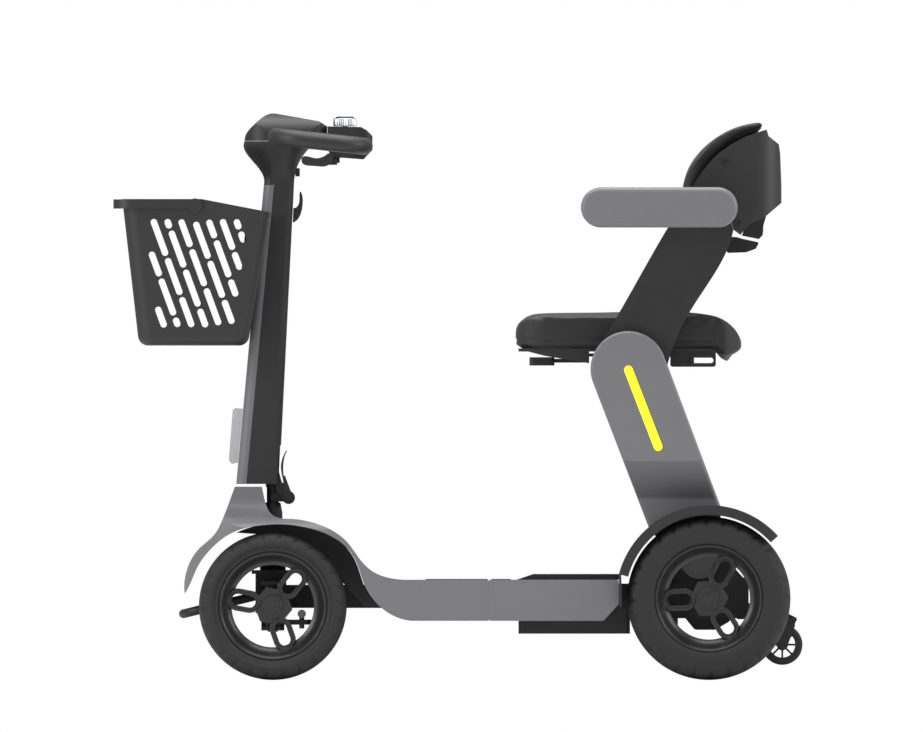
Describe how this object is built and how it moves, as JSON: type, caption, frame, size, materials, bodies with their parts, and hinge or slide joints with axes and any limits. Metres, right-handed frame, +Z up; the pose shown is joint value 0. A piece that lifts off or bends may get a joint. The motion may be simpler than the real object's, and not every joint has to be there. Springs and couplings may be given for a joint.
{
  "type": "mobility scooter",
  "caption": "Folding electric travel scooter with a steering tiller, front basket, footwell deck, padded seat on swing arms, backrest and flip-up armrests.",
  "frame": {"origin": "on the floor under the middle of the overall box", "axes": "+Z up, -X towards the front of the scooter, -Y towards the rider's left"},
  "size_m": [1.0717, 0.58, 0.8812],
  "materials": {
    "grey_plastic": "satin painted moulding",
    "black_plastic": "fine texture",
    "black_frame": "powder coat",
    "tyre": "solid rubber",
    "rim_black": "satin paint on cast alloy",
    "seat_vinyl": "soft vinyl",
    "light_yellow": "lit strip",
    "lamp_silver": "silver lens",
    "chrome": "knurled",
    "steel": "machined",
    "rubber_black": "ribbed mat",
    "button_grey": "moulded",
    "battery_blue": "wrapped",
    "cast_alloy": "cast"
  },
  "bodies": {
    "chassis": {"chassis_frame": "black_frame", "front_cover": "grey_plastic", "rear_deck_cover": "grey_plastic", "deck_mat": "rubber_black", "battery_cover": "black_plastic", "battery_tray": "black_plastic", "battery_pack": "battery_blue", "arch_liners": "black_plastic", "front_bumper": "black_frame", "rear_fenders": "black_plastic", "transaxle": "cast_alloy", "drive_motor": "cast_alloy", "motor_controller": "cast_alloy", "anti_tip_brackets": "black_frame"},
    "steering": {"steering_stem": "black_frame"},
    "tie_rod": {"tie_rod": "steel"},
    "left_knuckle": {"knuckle_left": "black_frame"},
    "right_knuckle": {"knuckle_right": "black_frame"},
    "front_left_wheel": {"front_rim_left": "rim_black", "front_tyre_left": "tyre"},
    "front_right_wheel": {"front_rim_right": "rim_black", "front_tyre_right": "tyre"},
    "rear_left_wheel": {"rear_rim_left": "rim_black", "rear_tyre_left": "tyre"},
    "rear_right_wheel": {"rear_rim_right": "rim_black", "rear_tyre_right": "tyre"},
    "left_anti_tip": {"anti_tip_wheel_left": "tyre"},
    "right_anti_tip": {"anti_tip_wheel_right": "tyre"},
    "tiller": {"tiller_column": "black_plastic", "tiller_front_trim": "grey_plastic", "hinge_block": "black_frame", "front_lamp": "lamp_silver", "head_lower_shell": "black_plastic", "head_upper_shell": "black_plastic", "control_pod": "black_plastic", "handlebar": "black_plastic", "bag_hook": "black_plastic", "basket_bracket": "black_plastic"},
    "fold_lever": {"fold_lever": "black_frame"},
    "throttle": {"throttle_lever": "black_plastic"},
    "dial": {"speed_dial": "chrome"},
    "horn": {"horn_button": "button_grey"},
    "power": {"power_button": "button_grey"},
    "basket": {"basket": "black_plastic"},
    "basket_handle": {"basket_handle": "black_plastic"},
    "tower": {"tower_arms": "grey_plastic", "tower_light_strips": "light_yellow", "tower_cross_tubes": "black_frame"},
    "seat_carrier": {"seat_carrier": "black_frame"},
    "seat": {"seat_pan": "black_plastic", "seat_cushion": "seat_vinyl"},
    "seat_lever": {"seat_slide_lever": "black_plastic"},
    "backrest": {"backrest_arms": "black_plastic", "backrest_shell": "black_plastic", "backrest_pad": "seat_vinyl", "backrest_screws": "black_frame"},
    "release_lever": {"release_lever": "black_plastic"},
    "left_armrest": {"armrest_left": "grey_plastic"},
    "right_armrest": {"armrest_right": "grey_plastic"}
  },
  "joints": [
    {"name": "steering_turn", "type": "hinge", "parent": "chassis", "child": "steering", "pos_m": [-0.288, 0, 0.115], "axis": [0, 0, 1], "range_deg": [-28, 28]},
    {"name": "left_kingpin", "type": "hinge", "parent": "chassis", "child": "left_knuckle", "pos_m": [-0.288, -0.169, 0.115], "axis": [0, 0, 1], "range_deg": [-28, 28]},
    {"name": "right_kingpin", "type": "hinge", "parent": "chassis", "child": "right_knuckle", "pos_m": [-0.288, 0.169, 0.115], "axis": [0, 0, 1], "range_deg": [-28, 28]},
    {"name": "tie_rod_shift", "type": "slide", "parent": "chassis", "child": "tie_rod", "axis": [0, 1, 0], "range_m": [-0.023, 0.023]},
    {"name": "front_left_spin", "type": "hinge", "parent": "left_knuckle", "child": "front_left_wheel", "pos_m": [-0.288, -0.205, 0.115], "axis": [0, 1, 0], "continuous": true},
    {"name": "front_right_spin", "type": "hinge", "parent": "right_knuckle", "child": "front_right_wheel", "pos_m": [-0.288, 0.205, 0.115], "axis": [0, 1, 0], "continuous": true},
    {"name": "rear_left_spin", "type": "hinge", "parent": "chassis", "child": "rear_left_wheel", "pos_m": [0.39, -0.205, 0.127], "axis": [0, 1, 0], "continuous": true},
    {"name": "rear_right_spin", "type": "hinge", "parent": "chassis", "child": "rear_right_wheel", "pos_m": [0.39, 0.205, 0.127], "axis": [0, 1, 0], "continuous": true},
    {"name": "left_anti_tip_spin", "type": "hinge", "parent": "chassis", "child": "left_anti_tip", "pos_m": [0.5042, -0.095, 0.055], "axis": [0, 1, 0], "continuous": true},
    {"name": "right_anti_tip_spin", "type": "hinge", "parent": "chassis", "child": "right_anti_tip", "pos_m": [0.5042, 0.095, 0.055], "axis": [0, 1, 0], "continuous": true},
    {"name": "tower_fold", "type": "hinge", "parent": "chassis", "child": "tower", "pos_m": [0.376, 0, 0.187], "axis": [0, -1, 0], "range_deg": [0, 48]},
    {"name": "tiller_fold", "type": "hinge", "parent": "steering", "child": "tiller", "pos_m": [-0.2634, 0, 0.2836], "axis": [0, 1, 0], "range_deg": [0, 60]},
    {"name": "seat_turn", "type": "hinge", "parent": "tower", "child": "seat_carrier", "pos_m": [0.265, 0, 0.4836], "axis": [0, 1, 0], "range_deg": [0, 36]},
    {"name": "backrest_fold", "type": "hinge", "parent": "tower", "child": "backrest", "pos_m": [0.265, 0, 0.4836], "axis": [0, 1, 0], "range_deg": [0, 90]},
    {"name": "fold_lever_turn", "type": "hinge", "parent": "tiller", "child": "fold_lever", "pos_m": [-0.2634, 0, 0.2836], "axis": [0, 1, 0], "range_deg": [0, 35]},
    {"name": "throttle_turn", "type": "hinge", "parent": "tiller", "child": "throttle", "pos_m": [-0.19, 0, 0.803], "axis": [0, 0, 1], "range_deg": [-12, 12], "stiffness_Nm_per_rad": 0.4},
    {"name": "dial_turn", "type": "hinge", "parent": "tiller", "child": "dial", "pos_m": [-0.176, 0, 0.868], "axis": [0, 0, 1], "range_deg": [-135, 135]},
    {"name": "horn_press", "type": "slide", "parent": "tiller", "child": "horn", "axis": [0, 0, -1], "range_m": [0, 0.0015], "stiffness_N_per_m": 400},
    {"name": "power_press", "type": "slide", "parent": "tiller", "child": "power", "axis": [0, 0, -1], "range_m": [0, 0.0015], "stiffness_N_per_m": 400},
    {"name": "basket_lift", "type": "slide", "parent": "tiller", "child": "basket", "axis": [-0.7071, 0, 0.7071], "range_m": [0, 0.15]},
    {"name": "basket_handle_lift", "type": "hinge", "parent": "basket", "child": "basket_handle", "pos_m": [-0.409, 0, 0.738], "axis": [0, 1, 0], "range_deg": [0, 90]},
    {"name": "seat_slide", "type": "slide", "parent": "seat_carrier", "child": "seat", "axis": [1, 0, 0], "range_m": [-0.028, 0]},
    {"name": "seat_lever_lift", "type": "hinge", "parent": "seat", "child": "seat_lever", "pos_m": [0.196, 0, 0.499], "axis": [0, 1, 0], "range_deg": [0, 4], "stiffness_Nm_per_rad": 2},
    {"name": "release_lever_squeeze", "type": "hinge", "parent": "backrest", "child": "release_lever", "pos_m": [0.438, 0, 0.678], "axis": [0, -1, 0], "range_deg": [0, 5], "stiffness_Nm_per_rad": 2},
    {"name": "left_armrest_lift", "type": "hinge", "parent": "backrest", "child": "left_armrest", "pos_m": [0.4036, -0.245, 0.735], "axis": [0, 1, 0], "range_deg": [0, 110]},
    {"name": "right_armrest_lift", "type": "hinge", "parent": "backrest", "child": "right_armrest", "pos_m": [0.4036, 0.245, 0.735], "axis": [0, 1, 0], "range_deg": [0, 110]}
  ],
  "couplings": [
    {"joint": "left_kingpin", "follows": "steering_turn", "ratio": 1},
    {"joint": "right_kingpin", "follows": "steering_turn", "ratio": 1},
    {"joint": "tie_rod_shift", "follows": "steering_turn", "m_per_rad": 0.047},
    {"joint": "tiller_fold", "follows": "tower_fold", "ratio": 1.25},
    {"joint": "seat_turn", "follows": "tower_fold", "ratio": 0.75},
    {"joint": "backrest_fold", "follows": "tower_fold", "ratio": 1.875}
  ]
}
